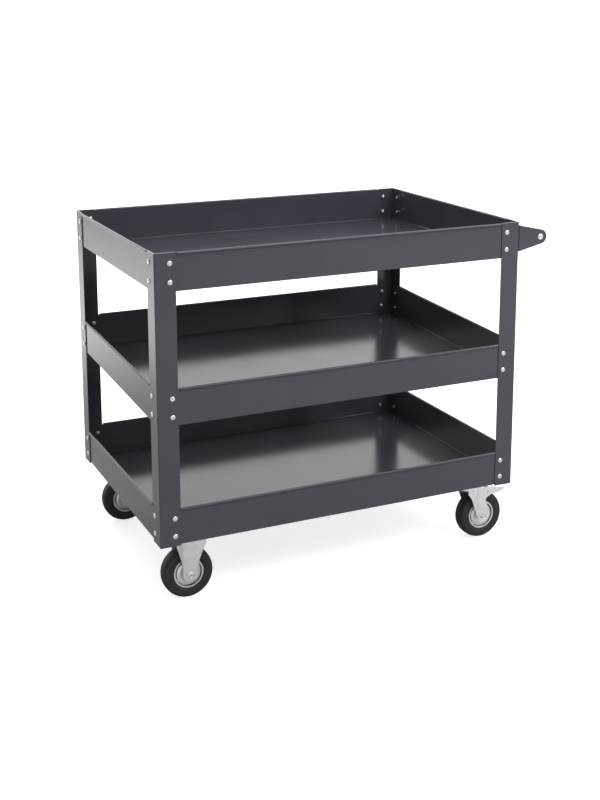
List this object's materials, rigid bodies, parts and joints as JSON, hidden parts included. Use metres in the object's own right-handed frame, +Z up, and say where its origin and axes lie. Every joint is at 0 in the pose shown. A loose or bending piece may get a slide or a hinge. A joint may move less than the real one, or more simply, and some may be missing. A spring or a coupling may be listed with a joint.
{
  "type": "tool cart",
  "caption": "Wheeled tool cart with stacked open steel trays between angle posts, a push handle at one end, and fixed and braked swivel casters.",
  "frame": {"origin": "centre of the footprint, on the floor", "axes": "+Z up, +X along the cart towards the push handle, +Y from the front long side to the back long side"},
  "size_m": [1.0361, 0.6524, 0.848],
  "materials": {
    "frame_paint": "semi-gloss anthracite powder coat",
    "fastener_zinc": "bright zinc plate",
    "caster_zinc": "blue passivated zinc plate, satin",
    "tyre_rubber": "matte black rubber",
    "bearing_nylon": "natural nylon",
    "spring_steel": "oiled spring steel"
  },
  "bodies": {
    "cart": {"caster_nuts": "fastener_zinc", "caster_studs": "fastener_zinc", "fixed_axle_bolts": "fastener_zinc", "fixed_axle_nuts": "fastener_zinc", "fixed_axle_sleeves": "fastener_zinc", "fixed_fork_back": "caster_zinc", "fixed_fork_front": "caster_zinc", "handle_bracket_back": "frame_paint", "handle_bracket_front": "frame_paint", "handle_plugs": "fastener_zinc", "handle_screws": "fastener_zinc", "handle_tube": "frame_paint", "kingpins": "fastener_zinc", "nuts_bottom": "fastener_zinc", "nuts_middle": "fastener_zinc", "nuts_top": "fastener_zinc", "post_back_left": "frame_paint", "post_back_right": "frame_paint", "post_front_left": "frame_paint", "post_front_right": "frame_paint", "screws_bottom": "fastener_zinc", "screws_middle": "fastener_zinc", "screws_top": "fastener_zinc", "swivel_plate_back": "caster_zinc", "swivel_plate_front": "caster_zinc", "tray_bottom": "frame_paint", "tray_middle": "frame_paint", "tray_top": "frame_paint"},
    "wheel_front_left": {"wheel_front_left_bearing": "bearing_nylon", "wheel_front_left_rim": "caster_zinc", "wheel_front_left_tyre": "tyre_rubber"},
    "wheel_front_right": {"wheel_front_right_bearing": "bearing_nylon", "wheel_front_right_rim": "caster_zinc", "wheel_front_right_tyre": "tyre_rubber"},
    "pedal_front": {"brake_pedal_front": "caster_zinc", "brake_shoe_front": "caster_zinc"},
    "swivel_front": {"swivel_fork_front": "caster_zinc", "swivel_balls_front": "fastener_zinc", "swivel_axle_bolt_front": "fastener_zinc", "swivel_axle_nut_front": "fastener_zinc", "swivel_axle_sleeve_front": "fastener_zinc", "brake_rivets_front": "fastener_zinc", "brake_spring_front": "spring_steel"},
    "wheel_back_left": {"wheel_back_left_bearing": "bearing_nylon", "wheel_back_left_rim": "caster_zinc", "wheel_back_left_tyre": "tyre_rubber"},
    "wheel_back_right": {"wheel_back_right_bearing": "bearing_nylon", "wheel_back_right_rim": "caster_zinc", "wheel_back_right_tyre": "tyre_rubber"},
    "pedal_back": {"brake_pedal_back": "caster_zinc", "brake_shoe_back": "caster_zinc"},
    "swivel_back": {"swivel_fork_back": "caster_zinc", "swivel_balls_back": "fastener_zinc", "swivel_axle_bolt_back": "fastener_zinc", "swivel_axle_nut_back": "fastener_zinc", "swivel_axle_sleeve_back": "fastener_zinc", "brake_rivets_back": "fastener_zinc", "brake_spring_back": "spring_steel"}
  },
  "joints": [
    {"name": "wheel_front_left_spin", "type": "hinge", "parent": "cart", "child": "wheel_front_left", "pos_m": [-0.4285, -0.2486, 0.0625], "axis": [0, 1, 0], "continuous": true},
    {"name": "swivel_front_turn", "type": "hinge", "parent": "cart", "child": "swivel_front", "pos_m": [0.3485, -0.2486, 0.15], "axis": [0, 0, 1], "continuous": true},
    {"name": "wheel_front_right_spin", "type": "hinge", "parent": "swivel_front", "child": "wheel_front_right", "pos_m": [0.3845, -0.2486, 0.0625], "axis": [0, 1, 0], "continuous": true},
    {"name": "brake_front_press", "type": "hinge", "parent": "swivel_front", "child": "pedal_front", "pos_m": [0.397, -0.2486, 0.127], "axis": [0, 1, 0], "range_deg": [0, 14]},
    {"name": "wheel_back_left_spin", "type": "hinge", "parent": "cart", "child": "wheel_back_left", "pos_m": [-0.4285, 0.2486, 0.0625], "axis": [0, 1, 0], "continuous": true},
    {"name": "swivel_back_turn", "type": "hinge", "parent": "cart", "child": "swivel_back", "pos_m": [0.3485, 0.2486, 0.15], "axis": [0, 0, 1], "continuous": true},
    {"name": "wheel_back_right_spin", "type": "hinge", "parent": "swivel_back", "child": "wheel_back_right", "pos_m": [0.3845, 0.2486, 0.0625], "axis": [0, 1, 0], "continuous": true},
    {"name": "brake_back_press", "type": "hinge", "parent": "swivel_back", "child": "pedal_back", "pos_m": [0.397, 0.2486, 0.127], "axis": [0, 1, 0], "range_deg": [0, 14]}
  ]
}
